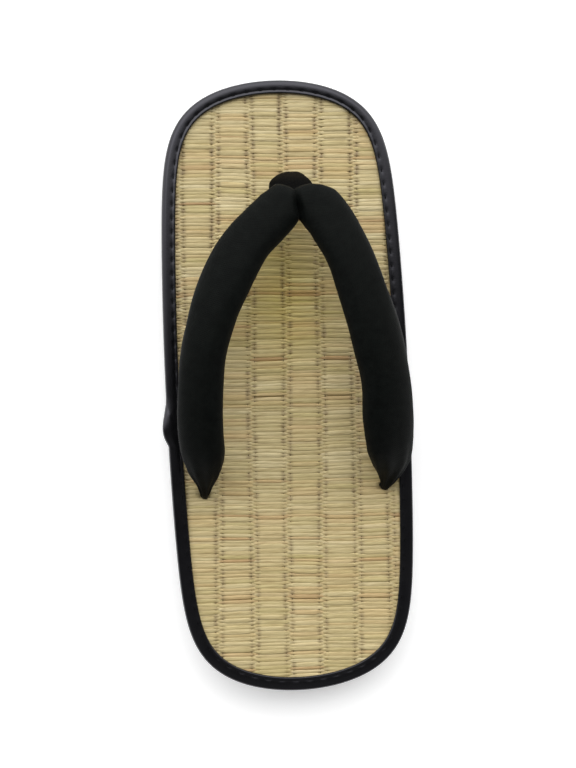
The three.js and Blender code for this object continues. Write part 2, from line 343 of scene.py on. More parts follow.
# Stem widths are shares of the room beside a stem, and lifts, levels and drops of its thickness
MAT_THICKNESS = 4 * MM
MAT_INSET = 2.8 * MM
WARP_PITCH = 15.05 * MM
WARP_SHIFT = -0.6 * MM
WARP_PAIRS_EACH_SIDE = 4
WARP_HALF_GAP = 1.5 * MM
WARP_THREAD = 0.55 * MM
WARP_WANDER = 0.35 * MM
WARP_WANDER_LENGTH = 27 * MM
WARP_WANDER_TURN = 1.7
WARP_MARGIN = 2 * MM
WEAVE_SKEW = math.radians(2.1)
STEM_PITCH = 1.56 * MM
STEM_THICKNESS = 0.98 * MM
STEM_UNEVENNESS = 0.42
STEM_MARGIN = 0.3 * MM
MOST_STEMS = 400
STEM_WIDTHS = (1.26, 1.5)
RIB_LIFTS = (-0.2, 0.1)
UNDER_LEVEL = -0.5
END_DROP = 0.1
NARROW_FLATTENING = 0.08
STEM_SECTION = np.radians([18, 62, 118, 162, 230, 310])
STEM_SQUARENESS = 3.4
CROSSING_REACH = 2.4 * MM
CHANNEL_STEM_WIDTH = 0.7
DIMPLE_REACH = 1.0 * MM
DIMPLE_PINCH = 0.08
DIMPLE_DROP = 0.2
DIMPLE_MIDDLE = 0.35
DIMPLE_SPREAD = 0.45
TINY = 1e-12
OVER_STATIONS = np.array([0, 0.7, 1.2, 1.6, 2.1, 2.9, 4.4]) * MM
UNDER_STATIONS = np.array([0, 0.8, 1.6, 3.0]) * MM

Spread = namedtuple("Spread", "middle bundled longest_bundle own")
TONES = Spread(0.5, 0.13, 5, 0.1)
WARMTHS = Spread(0.3, 0.16, 6, 0.06)
SHORTEST_BUNDLE = 2
RIB_SPREAD = 0.08
MOST_STRAW_WARMTH = 0.5
BROWN_STEMS = 0.05
BROWN_WARMTHS = (0.6, 0.95)
BROWN_WIDTH = 0.7
HEEL_SPREAD = 0.7
SPREAD_RUN = 60 * MM
FORK_SHADE_Y = 40 * MM
FORK_SHADE_WIDE = 20 * MM
FORK_SHADE_LONG = 30 * MM

Drift = namedtuple("Drift", "size along beside turn")
STEM_DRIFTS = [
    Drift(0.3 * MM, 19 * MM, 23 * MM, 0),
    Drift(0.14 * MM, 7 * MM, -11 * MM, 1.3),
]
Hole = namedtuple("Hole", "x y half_wide half_long")
MAT_HOLES = [
    Hole(6.0 * MM, 89.6 * MM, 4.2 * MM, 2.8 * MM),
    Hole(40.2 * MM, -45.7 * MM, 2.5 * MM, 2.6 * MM),
    Hole(-38.3 * MM, -45.7 * MM, 2.2 * MM, 2.6 * MM),
]

STEM_WAY = np.array([math.cos(WEAVE_SKEW), -math.sin(WEAVE_SKEW)])
WARP_WAY = np.array([math.sin(WEAVE_SKEW), math.cos(WEAVE_SKEW)])
WARP_PAIRS = WARP_SHIFT + WARP_PITCH * np.arange(-WARP_PAIRS_EACH_SIDE, WARP_PAIRS_EACH_SIDE + 1)
draw = np.random.default_rng(41)

STRAW_GREEN = colour(185, 171, 114)
STRAW = colour(197, 181, 133)
STRAW_PALE = colour(217, 204, 162)
RUSH_TAN = colour(205, 177, 126)
RUSH_BROWN = colour(171, 140, 96)
# Colour of the painted shade in the stems' dimples
DIMPLE_PAINTED_SHADE = colour(150, 132, 98)
STREAK_DARK = colour(212, 204, 190)
SHADE_YELLOW = [0.98, 0.95, 0.6, 1]
WHITE = [1, 1, 1, 1]


def mat_height(y):
    """Top of the mat's stems where they float over a rib."""
    return seat_height(y) + GAP + MAT_THICKNESS


rush, rush_tree, rush_shader = new_finish("dry rush", Specular_IOR_Level=0.45)
rush_tone = add_node(rush_tree, "Attribute", attribute_name="tone").outputs["Fac"]
rush_warmth = add_node(rush_tree, "Attribute", attribute_name="warmth").outputs["Fac"]
rush_dimple = add_node(rush_tree, "Attribute", attribute_name="dimple").outputs["Fac"]
rush_yellow = add_node(rush_tree, "Attribute", attribute_name="yellow").outputs["Fac"]
rush_place = add_node(rush_tree, "TexCoord").outputs["Object"]
rush_turned = add_node(
    rush_tree, "Mapping", {"Vector": rush_place, "Rotation": (0, 0, WEAVE_SKEW), "Scale": (1, 22, 22)}
)
rush_streaks = add_node(
    rush_tree,
    "TexNoise",
    {"Vector": rush_turned.outputs["Vector"], "Scale": 130, "Detail": 3, "Roughness": 0.6},
).outputs["Fac"]
rush_fibre = add_node(
    rush_tree,
    "TexNoise",
    {"Vector": rush_turned.outputs["Vector"], "Scale": 320, "Detail": 2},
).outputs["Fac"]
rush_straw = ramp(rush_tree, rush_tone, [(0, STRAW_GREEN), (0.5, STRAW), (1, STRAW_PALE)])
rush_warm = ramp(rush_tree, rush_warmth, [(0.45, RUSH_TAN), (1, RUSH_BROWN)])
rush_share = add_node(rush_tree, "MapRange", {"Value": rush_warmth, "From Min": 0.3, "From Max": 0.8})
rush_mixed = mixed_colour(rush_tree, rush_share.outputs["Result"], rush_straw, rush_warm)
# Painted shade in the dimples where the stems dive between the warp threads, darker the deeper the dimple
rush_dimple_painted_shade = mixed_colour(rush_tree, rush_dimple, rush_mixed, DIMPLE_PAINTED_SHADE)
rush_streak_shade = ramp(rush_tree, rush_streaks, [(0.3, STREAK_DARK), (0.62, WHITE)])
rush_streaked = mixed_colour(rush_tree, 1.0, rush_dimple_painted_shade, rush_streak_shade, how="MULTIPLY")
rush_colour = mixed_colour(rush_tree, rush_yellow, rush_streaked, SHADE_YELLOW, how="MULTIPLY")
rush_rough = add_node(rush_tree, "MapRange", {"Value": rush_streaks, "To Min": 0.42, "To Max": 0.66})
rush_bump = add_node(
    rush_tree, "Bump", {"Height": rush_fibre, "Strength": 0.35, "Distance": 0.12 * MM}
)
rush_tree.links.new(rush_colour, rush_shader.inputs["Base Color"])
rush_tree.links.new(rush_rough.outputs["Result"], rush_shader.inputs["Roughness"])
rush_tree.links.new(rush_bump.outputs["Normal"], rush_shader.inputs["Normal"])

mat_edge = outline(places_a_side=220)
mat_flat = edge_ring(mat_edge, MAT_INSET, mat_height)[:, :2]
edge_along_stems = mat_flat @ STEM_WAY
edge_along_warp = mat_flat @ WARP_WAY


def reach(along, beside, place):
    """Both ends of a straight line inside the mat's edge, which runs at one place beside it."""
    here = beside - place
    there = np.roll(here, -1)
    crossed = here * there <= 0
    share = here[crossed] / (here[crossed] - there[crossed] + TINY)
    ends = along[crossed] + share * (np.roll(along, -1) - along)[crossed]
    return ends.min(), ends.max()


def warp_places(beside):
    """Where the pairs of warp threads lie beside one stem: nearly straight, with a slow wander."""
    phase = beside / WARP_WANDER_LENGTH + WARP_WANDER_TURN * np.arange(len(WARP_PAIRS))
    return WARP_PAIRS + WARP_WANDER * np.sin(phase)


def stem_stations(low, high, row, pairs):
    """Places along a stem, closest where it dives between the two threads of a pair."""
    places = [low, high]
    for rib, (start, end) in enumerate(zip(pairs, pairs[1:])):
        floats = (rib + row) % 2 == 0
        steps = OVER_STATIONS if floats else UNDER_STATIONS
        places += [*(start + steps), (start + end) / 2, *(end - steps[1:])]
    places = np.array(sorted(places))
    return places[(places >= low) & (places <= high)]


def around_holes(places, beside):
    """The stretches of a stem that are left where the mat's holes cut it."""
    stretches = [places]
    for hole in MAT_HOLES:
        middle = np.array([hole.x, hole.y])
        off = (beside - middle @ WARP_WAY) / hole.half_long
        if abs(off) < 1:
            half = hole.half_wide * math.sqrt(1 - off**2)
            low = middle @ STEM_WAY - half
            high = middle @ STEM_WAY + half
            cut = []
            for stretch in stretches:
                if stretch[0] < low < stretch[-1]:
                    cut.append(np.append(stretch[stretch < low], low))
                if stretch[0] < high < stretch[-1]:
                    cut.append(np.insert(stretch[stretch > high], 0, high))
                if stretch[-1] <= low or high <= stretch[0]:
                    cut.append(stretch)
            stretches = cut
    return stretches


def stem_drift(along, beside):
    """How far the stems wander to and fro, alike for stems that lie near each other."""
    return sum(
        drift.size * np.sin(along / drift.along + beside / drift.beside + drift.turn)
        for drift in STEM_DRIFTS
    )


def stem_grid(places, beside, row, width, pairs):
    """Points of one stretch of a stem, the rib that each place is on, and how dimpled it is there."""
    rib = np.clip(np.searchsorted(pairs, places) - 1, 0, len(pairs) - 2)
    pair = np.abs(places[:, None] - pairs).argmin(axis=1)
    from_pair = np.abs(places - pairs[pair])
    way = np.where((rib + row) % 2 == 0, 1.0, UNDER_LEVEL)
    level = way * smooth_step(0, CROSSING_REACH, from_pair)
    crown = END_DROP * (smooth_step(0, WARP_PITCH / 2, from_pair) - 1)
    dimple = dimple_depth[row, pair] * np.exp(-(((from_pair - WARP_HALF_GAP) / DIMPLE_REACH) ** 2))
    widening = smooth_step(WARP_HALF_GAP, 2 * WARP_HALF_GAP, from_pair)
    share = CHANNEL_STEM_WIDTH + (1 - CHANNEL_STEM_WIDTH) * widening - DIMPLE_PINCH * dimple
    loose = rib_lift[row, rib] * widening
    drifted = beside + stem_drift(places, beside)
    flat = places[:, None] * STEM_WAY + drifted[:, None] * WARP_WAY
    sunk = 1 - 0.5 * level - crown - loose + DIMPLE_DROP * dimple
    middle = mat_height(flat[:, 1]) - STEM_THICKNESS * sunk
    side_way = np.sign(np.cos(STEM_SECTION)) * np.abs(np.cos(STEM_SECTION)) ** (2 / STEM_SQUARENESS)
    up_way = np.sign(np.sin(STEM_SECTION)) * np.abs(np.sin(STEM_SECTION)) ** (2 / STEM_SQUARENESS)
    across = side_way * (width * share / 2)[:, None]
    up = up_way * STEM_THICKNESS * (0.5 - NARROW_FLATTENING * (1 - share))[:, None]
    grid = np.empty((len(places), len(STEM_SECTION), 3))
    grid[..., :2] = flat[:, None] + across[..., None] * WARP_WAY
    grid[..., 2] = middle[:, None] + up
    return grid, rib, dimple


def bundled(count, spread):
    """Random numbers for stems, in part alike over short runs of stems, as in a bundle from one plant."""
    runs = draw.integers(SHORTEST_BUNDLE, spread.longest_bundle + 1, count)
    alike = np.repeat(draw.normal(0, 1, count), runs)[:count]
    return spread.middle + spread.bundled * alike + spread.own * draw.normal(0, 1, count)


def shade_yellow(x, y):
    """How much yellower the mat shows: most in the shade of the strap's fork."""
    return np.exp(-((x / FORK_SHADE_WIDE) ** 2) - ((y - FORK_SHADE_Y) / FORK_SHADE_LONG) ** 2)


half_pitches = STEM_PITCH / 2 * (1 + STEM_UNEVENNESS * draw.uniform(-1, 1, MOST_STEMS))
stem_rows = edge_along_warp.min() + STEM_MARGIN + np.cumsum(half_pitches)
stem_rows = stem_rows[stem_rows < edge_along_warp.max() - STEM_MARGIN]
stem_count = len(stem_rows)
rib_count = len(WARP_PAIRS)
stem_widths = draw.uniform(*STEM_WIDTHS, stem_count)
rib_lift = draw.uniform(*RIB_LIFTS, (stem_count, rib_count))
dimple_depth = DIMPLE_MIDDLE + DIMPLE_SPREAD * draw.normal(0, 1, (stem_count, rib_count))
stem_tone = np.empty(stem_count)
stem_warmth = np.empty(stem_count)
for family in range(2):
    size = len(stem_tone[family::2])
    stem_widths[family::2] *= np.gradient(stem_rows[family::2])
    stem_tone[family::2] = bundled(size, TONES)
    stem_warmth[family::2] = bundled(size, WARMTHS)
brown_stems = draw.random(stem_count) < BROWN_STEMS
brown_warmth = draw.uniform(*BROWN_WARMTHS, stem_count)
stem_warmth = np.where(brown_stems, brown_warmth, np.clip(stem_warmth, 0, MOST_STRAW_WARMTH))
stem_widths = np.where(brown_stems, BROWN_WIDTH * stem_widths, stem_widths)
rib_tone = draw.normal(0, RIB_SPREAD, (stem_count, rib_count))
rib_warmth = draw.normal(0, RIB_SPREAD, (stem_count, rib_count))

# The stems are more alike towards the heel, and their dimples are shallower there
stem_variety = HEEL_SPREAD + (1 - HEEL_SPREAD) * smooth_step(-SPREAD_RUN, SPREAD_RUN, stem_rows)
stem_tone = TONES.middle + stem_variety * (stem_tone - TONES.middle)
stem_warmth = WARMTHS.middle + stem_variety * (stem_warmth - WARMTHS.middle)
dimple_depth = np.clip(dimple_depth, 0, 1) * stem_variety[:, None]

stem_shapes = [Shape(), Shape()]
for row, beside in enumerate(stem_rows):
    low, high = reach(edge_along_stems, edge_along_warp, beside)
    pairs = warp_places(beside)
    for stretch in around_holes(stem_stations(low, high, row, pairs), beside):
        grid, rib, dimple = stem_grid(stretch, beside, row, stem_widths[row], pairs)
        stem_shapes[row % 2].add(
            grid,
            closed_columns=True,
            capped=True,
            tone=(stem_tone[row] + rib_tone[row, rib])[:, None],
            warmth=(stem_warmth[row] + rib_warmth[row, rib])[:, None],
            dimple=dimple[:, None],
            yellow=shade_yellow(grid[..., 0], grid[..., 1]),
        )
for name, stem_shape in zip(["rush_stems_first", "rush_stems_second"], stem_shapes):
    stems = stem_shape.piece(name, rush)
    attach(stems, "root")
    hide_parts("footbed")

HEMP_DARK = colour(92, 78, 56)
HEMP_LIGHT = colour(128, 112, 84)
THREAD_POINTS = 6
THREAD_SECTION = np.linspace(0, 2 * math.pi, THREAD_POINTS, endpoint=False)
hemp, hemp_tree, hemp_shader = new_finish("hemp warp", Roughness=0.85, Specular_IOR_Level=0.2)
hemp_place = add_node(hemp_tree, "TexCoord").outputs["Object"]
hemp_fuzz = add_node(hemp_tree, "TexNoise", {"Vector": hemp_place, "Scale": 900, "Detail": 2})
hemp_shade = ramp(hemp_tree, hemp_fuzz.outputs["Fac"], [(0.3, HEMP_DARK), (0.7, HEMP_LIGHT)])
hemp_tree.links.new(hemp_shade, hemp_shader.inputs["Base Color"])


def thread_grid(line, beside, thick):
    """Points of a round thread along a line, given the level way beside it at each of its points."""
    across = np.cos(THREAD_SECTION) * thick / 2
    grid = np.empty((len(line), len(THREAD_SECTION), 3))
    grid[..., :2] = line[:, None, :2] + across[:, None] * beside[:, None]
    grid[..., 2] = line[:, None, 2] + np.sin(THREAD_SECTION) * thick / 2
    return grid


thread_shape = Shape()
for index, pair in enumerate(WARP_PAIRS):
    for side in (-1, 1):
        along = pair + side * WARP_HALF_GAP
        if edge_along_stems.min() + WARP_MARGIN < along < edge_along_stems.max() - WARP_MARGIN:
            low, high = reach(edge_along_warp, edge_along_stems, along)
            run = np.arange(low, high, STEM_PITCH)
            wander = np.array([warp_places(place)[index] for place in run]) - pair
            flat = (along + wander)[:, None] * STEM_WAY + run[:, None] * WARP_WAY
            line = np.column_stack([flat, mat_height(flat[:, 1]) - STEM_THICKNESS])
            beside = np.tile(-STEM_WAY, (len(run), 1))
            grid = thread_grid(line, beside, WARP_THREAD)
            thread_shape.add(grid, closed_columns=True, capped=True)
warp_threads = thread_shape.piece("warp_threads", hemp)
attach(warp_threads, "root")

BACKING_DARK = colour(84, 68, 42)
BACKING_BROWN = colour(112, 92, 58)
BACKING_DROP = 2.0 * MM
backing_finish, backing_tree, backing_shader = new_finish("pressed backing", Roughness=0.9)
backing_grain = placed_group(backing_tree, grain_group, Cells_per_metre=500, Patches_per_metre=300)
backing_shade = ramp(
    backing_tree, backing_grain.outputs["Patches"], [(0.3, BACKING_DARK), (0.7, BACKING_BROWN)]
)
backing_tree.links.new(backing_shade, backing_shader.inputs["Base Color"])
backing_rings = [
    edge_ring(mat_edge, MAT_INSET, lambda y: seat_height(y) + GAP),
    edge_ring(mat_edge, MAT_INSET, lambda y: mat_height(y) - BACKING_DROP),
]
backing_shape = Shape()
backing_shape.add(np.stack(backing_rings), closed_columns=True)
backing_shape.add(rows_across(backing_rings[0], columns=8))
backing_shape.add(rows_across(backing_rings[1], columns=8)[:, ::-1])
backing = backing_shape.piece("mat_backing", backing_finish, welded=True)
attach(backing, "root")
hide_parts("footbed")


# Binding
# A strip of black vinyl folded round the mat's edge and sewn down through the mat in one seam. Outside
# the seam it rolls over the edge, inside it ends in a thin lip, and its two ends lap at one side.

# Each fold is millimetres in from the edge and up from the sole's top, and its share of the lap's swell
Fold = namedtuple("Fold", "inset rise lap")
BINDING_FOLDS = [
    Fold(8.5, -0.9, 0),
    Fold(2.0, -0.9, 0.3),
    Fold(0.5, -0.3, 0.8),
    Fold(0.0, 1.2, 1),
    Fold(0.0, 2.9, 1),
    Fold(0.1, 4.6, 1),
    Fold(0.7, 5.5, 0.9),
    Fold(1.7, 5.78, 0.7),
    Fold(2.6, 5.79, 0.6),
    Fold(3.5, 5.75, 0.5),
    Fold(4.2, 5.69, 0.4),
    Fold(4.7, 5.63, 0.3),
    Fold(5.15, 5.69, 0.2),
    Fold(5.8, 5.7, 0.1),
    Fold(6.2, 4.65, 0),
    Fold(2.3, 4.6, 0),
    Fold(1.2, 3.7, 0),
    Fold(1.0, 1.0, 0),
    Fold(1.8, 0.0, 0),
    Fold(8.5, 0.0, 0),
]
CORNER_CUTS = 2
CORNER_SHARE = 0.25
LAP_FROM = -24.5 * MM
LAP_TO = -3 * MM
LAP_SWELL = 2.1 * MM
LAP_LEAN = 1.7
LAP_RISE = 0.35
LAP_UNDER_SHARE = 0.6
LAP_CUT = -7 * MM
LAP_CUT_SLANT = 9 * MM
LAP_CUT_FADE = 0.5 * MM
SEAM_INSET = 4.55 * MM
SEAM_RISE = 5.64 * MM
SEAM_REACH = 0.8 * MM
TOP_FROM = 4.7 * MM
STITCH_PITCH = 6.0 * MM
STITCH_LENGTH = 2.2 * MM
STITCH_THREAD = 0.62 * MM
STITCH_PULL = 0.06 * MM
STITCH_PULL_FROM = 1.65 * MM
STITCH_PULL_FULL = 0.66 * MM
STITCH_PLACES = 9
STITCH_SINK = 0.12 * MM
STITCH_DIVE = 0.5 * MM
STITCH_DIVE_SHARPNESS = 4

VINYL_BLACK = colour(8, 8, 9)
VINYL_GREY = colour(13, 13, 14)
VINYL_GLINT = (0.9, 0.89, 1, 1)
vinyl, vinyl_tree, vinyl_shader = new_finish(
    "black vinyl", Specular_IOR_Level=0.5, Specular_Tint=VINYL_GLINT
)
vinyl_grain = placed_group(vinyl_tree, grain_group, Cells_per_metre=2400, Patches_per_metre=90)
vinyl_shade = ramp(
    vinyl_tree, vinyl_grain.outputs["Patches"], [(0.35, VINYL_BLACK), (0.7, VINYL_GREY)]
)
vinyl_rough = add_node(
    vinyl_tree,
    "MapRange",
    {"Value": vinyl_grain.outputs["Patches"], "To Min": 0.13, "To Max": 0.19},
)
vinyl_bump = add_node(
    vinyl_tree,
    "Bump",
    {"Height": vinyl_grain.outputs["Height"], "Strength": 0.08, "Distance": 0.1 * MM},
)
vinyl_tree.links.new(vinyl_shade, vinyl_shader.inputs["Base Color"])
vinyl_tree.links.new(vinyl_rough.outputs["Result"], vinyl_shader.inputs["Roughness"])
vinyl_tree.links.new(vinyl_bump.outputs["Normal"], vinyl_shader.inputs["Normal"])


def cut_corners(rows):
    """A closed line with each of its corners cut to two."""
    after = np.roll(rows, -1, axis=0)
    ends = [rows + CORNER_SHARE * (after - rows), after + CORNER_SHARE * (rows - after)]
    return np.stack(ends, axis=1).reshape(-1, rows.shape[1])


folds = np.array(BINDING_FOLDS, float)
for _ in range(CORNER_CUTS):
    folds = cut_corners(folds)
fold_inset, fold_rise, fold_lap = folds[::-1].T * np.array([[MM], [MM], [1]])

binding_edge = outline(places_a_side=430)
edge_points, edge_outward = binding_edge
seam_line = edge_ring(binding_edge, SEAM_INSET, seat_height)
seam_steps = np.linalg.norm(seam_line - np.roll(seam_line, 1, axis=0), axis=1)
seam_length = seam_steps.sum()
seam_walked = np.cumsum(seam_steps) - seam_steps[0]
stitch_count = round(seam_length / STITCH_PITCH)
stitch_pitch = seam_length / stitch_count
from_stitch = np.abs((seam_walked / stitch_pitch) % 1 - 0.5) * stitch_pitch
pulled = smooth_step(STITCH_PULL_FROM, STITCH_PULL_FULL, from_stitch)

near_seam = np.exp(-(((fold_inset - SEAM_INSET) / SEAM_REACH) ** 2)) * (fold_rise > TOP_FROM)
seam_dip = STITCH_PULL * pulled[:, None] * near_seam

lap_start = LAP_CUT - LAP_CUT_SLANT * np.clip(fold_inset / SEAM_INSET, 0, 1)
on_left = edge_points[:, 0] < 0
through = (edge_points[:, 1] - LAP_FROM) / (LAP_TO - LAP_FROM)
bulge = LAP_SWELL * np.sin(math.pi * np.clip(1 - through, 0, 1) ** LAP_LEAN) * on_left
past_cut = smooth_step(LAP_CUT_FADE, -LAP_CUT_FADE, edge_points[:, 1, None] - lap_start)
swell = fold_lap * bulge[:, None] * (LAP_UNDER_SHARE + (1 - LAP_UNDER_SHARE) * past_cut)

binding_flat = edge_points[:, None] - (fold_inset - swell)[..., None] * edge_outward[:, None]
binding_grid = np.empty((len(edge_points), len(folds), 3))
binding_grid[..., :2] = binding_flat
binding_grid[..., 2] = seat_height(binding_flat[..., 1]) + fold_rise - seam_dip + LAP_RISE * swell
binding_shape = Shape()
binding_shape.add(binding_grid, closed_rows=True, closed_columns=True)
binding = binding_shape.piece("vinyl_binding", vinyl)
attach(binding, "root")
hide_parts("binding")

SEWING_BLACK = colour(6, 6, 7)
SEWING_GREY = colour(14, 14, 15)
sewing, sewing_tree, sewing_shader = new_finish("sewing thread", Roughness=0.8, Specular_IOR_Level=0.1)
sewing_place = add_node(sewing_tree, "TexCoord").outputs["Object"]
sewing_ply = add_node(sewing_tree, "TexNoise", {"Vector": sewing_place, "Scale": 1500})
sewing_shade = ramp(
    sewing_tree, sewing_ply.outputs["Fac"], [(0.3, SEWING_BLACK), (0.75, SEWING_GREY)]
)
sewing_tree.links.new(sewing_shade, sewing_shader.inputs["Base Color"])

stitch_shape = Shape()
stitch_share = np.linspace(-0.5, 0.5, STITCH_PLACES)
stitch_dive = STITCH_DIVE * np.abs(2 * stitch_share) ** STITCH_DIVE_SHARPNESS
for stitch in range(stitch_count):
    walked = (stitch + 0.5) * stitch_pitch + stitch_share * STITCH_LENGTH
    line = np.column_stack(
        [np.interp(walked, seam_walked, seam_line[:, axis], period=seam_length) for axis in range(3)]
    )
    line[:, 2] += SEAM_RISE - STITCH_PULL - STITCH_SINK - stitch_dive
    along = unit(np.gradient(line[:, :2], axis=0))
    beside = np.column_stack([-along[:, 1], along[:, 0]])
    stitch_shape.add(thread_grid(line, beside, STITCH_THREAD), closed_columns=True, capped=True)
stitches = stitch_shape.piece("binding_stitches", sewing)
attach(stitches, "root")


# Strap
# Two tubes of black cotton stuffed with wadding and sewn together at the toe. Each is gathered to a tail
# that a hole in the sole holds. The cloth is wrapped round the stuffing, with its seam underneath.

# Each row is in millimetres, its lift counted from the mat's top, with the tilt in degrees
ArmRow = namedtuple("ArmRow", "y left left_wide right right_wide lift thick tilt")
ARM_ROWS = [
    ArmRow(81.8, 0.9, 10.2, 8.0, 10.2, 22.6, 7.0, 2),
    ArmRow(80.4, 0.4, 12.2, 8.4, 12.2, 23.0, 10.4, 3),
    ArmRow(77.4, -0.6, 16.0, 10.0, 16.4, 24.0, 12.6, 6),
    ArmRow(73.2, -2.8, 19.4, 14.4, 20.0, 25.4, 13.2, 9),
    ArmRow(66.5, -9.2, 19.9, 18.9, 20.2, 27.3, 13.5, 12),
    ArmRow(60.0, -15.6, 20.2, 22.2, 20.2, 28.9, 13.5, 15),
    ArmRow(52.0, -21.5, 21.3, 25.6, 20.4, 30.1, 13.5, 17),
    ArmRow(43.0, -26.5, 21.5, 28.5, 21.0, 30.8, 13.5, 18),
    ArmRow(30.0, -32.3, 20.3, 32.4, 22.4, 31.0, 13.5, 20),
    ArmRow(15.0, -36.8, 19.2, 36.1, 23.4, 30.0, 13.5, 22),
    ArmRow(0.0, -38.8, 19.2, 38.5, 22.4, 27.8, 13.5, 24),
    ArmRow(-15.0, -39.3, 19.4, 39.4, 23.4, 24.0, 13.2, 25),
    ArmRow(-26.5, -38.9, 18.4, 40.5, 21.6, 18.6, 12.4, 25),
    ArmRow(-34.5, -38.2, 14.0, 41.8, 17.0, 12.4, 10.0, 22),
    ArmRow(-41.0, -38.0, 6.6, 41.2, 9.4, 6.2, 6.6, 14),
    ArmRow(-45.4, -38.3, 3.6, 40.2, 4.2, 1.2, 4.4, 6),
    ArmRow(-46.6, -38.3, 3.6, 40.0, 3.8, -6.5, 4.0, 0),
]
ARM_STEPS_PER_ROW = 8
ARM_POINTS = 48
ARM_SQUARENESS = 2.3
EASED_STEPS = 7
TAIL_PLEATS = 9
TAIL_PLEAT_DEPTH = 0.35 * MM
PLEATS_FROM = -22 * MM
PLEATS_FULL = -38 * MM
PLEATS_FADE = -43 * MM
PLEATS_END = -47 * MM
SEAM_TROUGH = 0.7 * MM
SEAM_NARROWNESS = 0.02
SEAM_END = -40 * MM
SEAM_FULL = -20 * MM
STUFFING_LUMPS = 0.16 * MM
LUMP_SHORT = 6 * MM
LUMP_LONG = 11 * MM
HELD_FRONT = 76 * MM
HELD_TAIL = -36 * MM
FRONT_EASE = 14 * MM
TAIL_EASE = 12 * MM
WADDING_PRESSURE = 60
WADDING_FRAMES = 20
WADDING_CAP = 0.5 * MM
WADDING_ROOM = 0.25 * MM
CREASE_DEPTH = 2.8 * MM
CREASE_HALF_WIDTH = 2.6 * MM
CREASE_FROM = 67 * MM
CREASE_FULL = 73 * MM
CREASE_SHALLOW = 80 * MM
CREASE_SHALLOW_SHARE = 0.2
CREASED_SLOPES = (-0.1, 0.3)
CREASE_Y = np.array([70, 76, 84]) * MM
CREASE_X = np.array([5.8, 5.0, 4.4]) * MM


def smooth_run(rows, steps):
    """A smooth line through rows of numbers, with the same number of steps between each two."""
    rows = np.asarray(rows, float)
    padded = np.vstack([2 * rows[0] - rows[1], rows, 2 * rows[-1] - rows[-2]])
    share = np.arange(steps)[:, None] / steps
    run = []
    for before, start, end, after in zip(padded, padded[1:], padded[2:], padded[3:]):
        gap_in, gap, gap_out = (
            np.linalg.norm(b - a) ** 0.5 for a, b in ((before, start), (start, end), (end, after))
        )
        slope_in = (start - before) / gap_in - (end - before) / (gap_in + gap) + (end - start) / gap
        slope_out = (end - start) / gap - (after - start) / (gap + gap_out) + (after - end) / gap_out
        leave = start * (2 * share**3 - 3 * share**2 + 1) + end * (3 * share**2 - 2 * share**3)
        turn = slope_in * (share**3 - 2 * share**2 + share) + slope_out * (share**3 - share**2)
        run.append(leave + gap * turn)
    return np.vstack([*run, rows[-1:]])


def free_share(y):
    """How free the cloth is to swell: not at all at the sewn fork and the gathered tails."""
    past_fork = smooth_step(HELD_FRONT, HELD_FRONT - FRONT_EASE, y)
    return past_fork * smooth_step(HELD_TAIL, HELD_TAIL + TAIL_EASE, y)


def eased_ways(middles):
    """Directions along a line of points, evened out so that the sections square to it never cross."""
    added = ((EASED_STEPS, EASED_STEPS), (0, 0))
    ways = np.pad(unit(np.gradient(middles, axis=0)), added, mode="edge")
    near = [ways[step : step + len(middles)] for step in range(2 * EASED_STEPS + 1)]
    return unit(np.mean(near, axis=0))


def oval_tube(middles, facing, broad, wide, thick, squareness, points):
    """Points of a tube through oval sections, and the turn of each point about the tube's middle."""
    across = unit(broad - np.sum(broad * facing, axis=1, keepdims=True) * facing)
    rise = np.cross(facing, across)
    turn = np.linspace(0, 2 * math.pi, points, endpoint=False)
    flat = np.sign(np.cos(turn)) * np.abs(np.cos(turn)) ** (2 / squareness)
    high = np.sign(np.sin(turn)) * np.abs(np.sin(turn)) ** (2 / squareness)
    spread = across[:, None] * (flat * wide[:, None] / 2)[..., None]
    raised = rise[:, None] * (high * thick[:, None] / 2)[..., None]
    return middles[:, None] + spread + raised, turn


def arm_tube(side):
    """Points of one arm, whose sections stand square to it."""
    columns = ArmRow(*np.array(ARM_ROWS).T)
    place, wide = (columns.left, columns.left_wide) if side < 0 else (columns.right, columns.right_wide)
    height = mat_height(columns.y * MM) / MM + columns.lift
    middles = smooth_run(np.column_stack([place, columns.y, height]), ARM_STEPS_PER_ROW) * MM
    sizes = np.column_stack([wide, columns.thick, np.radians(columns.tilt)])
    wide, thick, tilt = smooth_run(sizes, ARM_STEPS_PER_ROW).T
    facing = eased_ways(middles)
    outward = unit(np.column_stack([-facing[:, 1], facing[:, 0], np.zeros(len(facing))]))
    broad = outward * (side * np.cos(tilt))[:, None]
    broad[:, 2] = -np.sin(tilt)
    slack = 2 * WADDING_ROOM * free_share(middles[:, 1])
    grid, turn = oval_tube(
        middles, facing, broad, wide * MM + slack, thick * MM - slack, ARM_SQUARENESS, ARM_POINTS
    )
    return grid, turn, middles


COTTON_BLACK = colour(3, 5, 4)
COTTON_GREY = colour(10, 13, 11)
COTTON_THREADS = 2100
SLUB_HEIGHT = 1.2

# Plain weave of cotton threads, which the strap and the toe post share
weave_group, weave_in, weave_out = new_group(
    "cotton weave", {"Threads per metre": COTTON_THREADS, "Slubs per metre": 300}, ["Height", "Slubs"]
)
weave_waves = []
for value_name in ("along", "around"):
    value = add_node(weave_group, "Attribute", attribute_name=value_name).outputs["Fac"]
    counted = add_node(
        weave_group, "Math", {0: value, 1: weave_in.outputs["Threads per metre"]}, operation="MULTIPLY"
    )
    turned = add_node(weave_group, "Math", {0: counted.outputs[0], 1: math.pi}, operation="MULTIPLY")
    weave_waves.append(add_node(weave_group, "Math", {0: turned.outputs[0]}, operation="SINE").outputs[0])
weave_cross = add_node(
    weave_group, "Math", {0: weave_waves[0], 1: weave_waves[1]}, operation="MULTIPLY"
).outputs[0]
weave_place = add_node(weave_group, "TexCoord").outputs["Object"]
weave_slubs = add_node(
    weave_group,
    "TexNoise",
    {"Vector": weave_place, "Scale": weave_in.outputs["Slubs per metre"], "Detail": 4, "Roughness": 0.65},
).outputs["Fac"]
